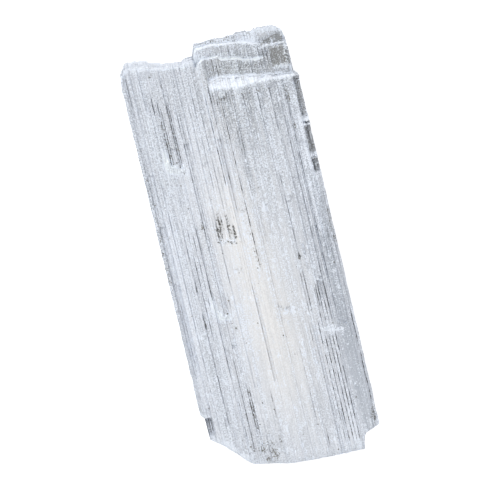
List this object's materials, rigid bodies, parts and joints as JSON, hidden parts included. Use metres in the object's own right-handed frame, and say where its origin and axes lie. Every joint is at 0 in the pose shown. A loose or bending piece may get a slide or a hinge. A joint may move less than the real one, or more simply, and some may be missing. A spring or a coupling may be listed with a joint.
{
  "type": "selenite crystal blade",
  "caption": "Loose selenite blade: a slab of fused parallel laths with a cut-off lower end, a stepped upper end and a flat back to rest on.",
  "frame": {"origin": "on the resting face, under the middle of the blade's outline", "axes": "+Y along the laths to the stepped end, +X across the broad face, +Z out of the front face"},
  "size_m": [0.0482, 0.1212, 0.015],
  "materials": {
    "selenite": "frosted, silky and slightly see-through, with white fracture lines along the laths"
  },
  "bodies": {
    "root": {"selenite_blade": "selenite"}
  },
  "joints": []
}
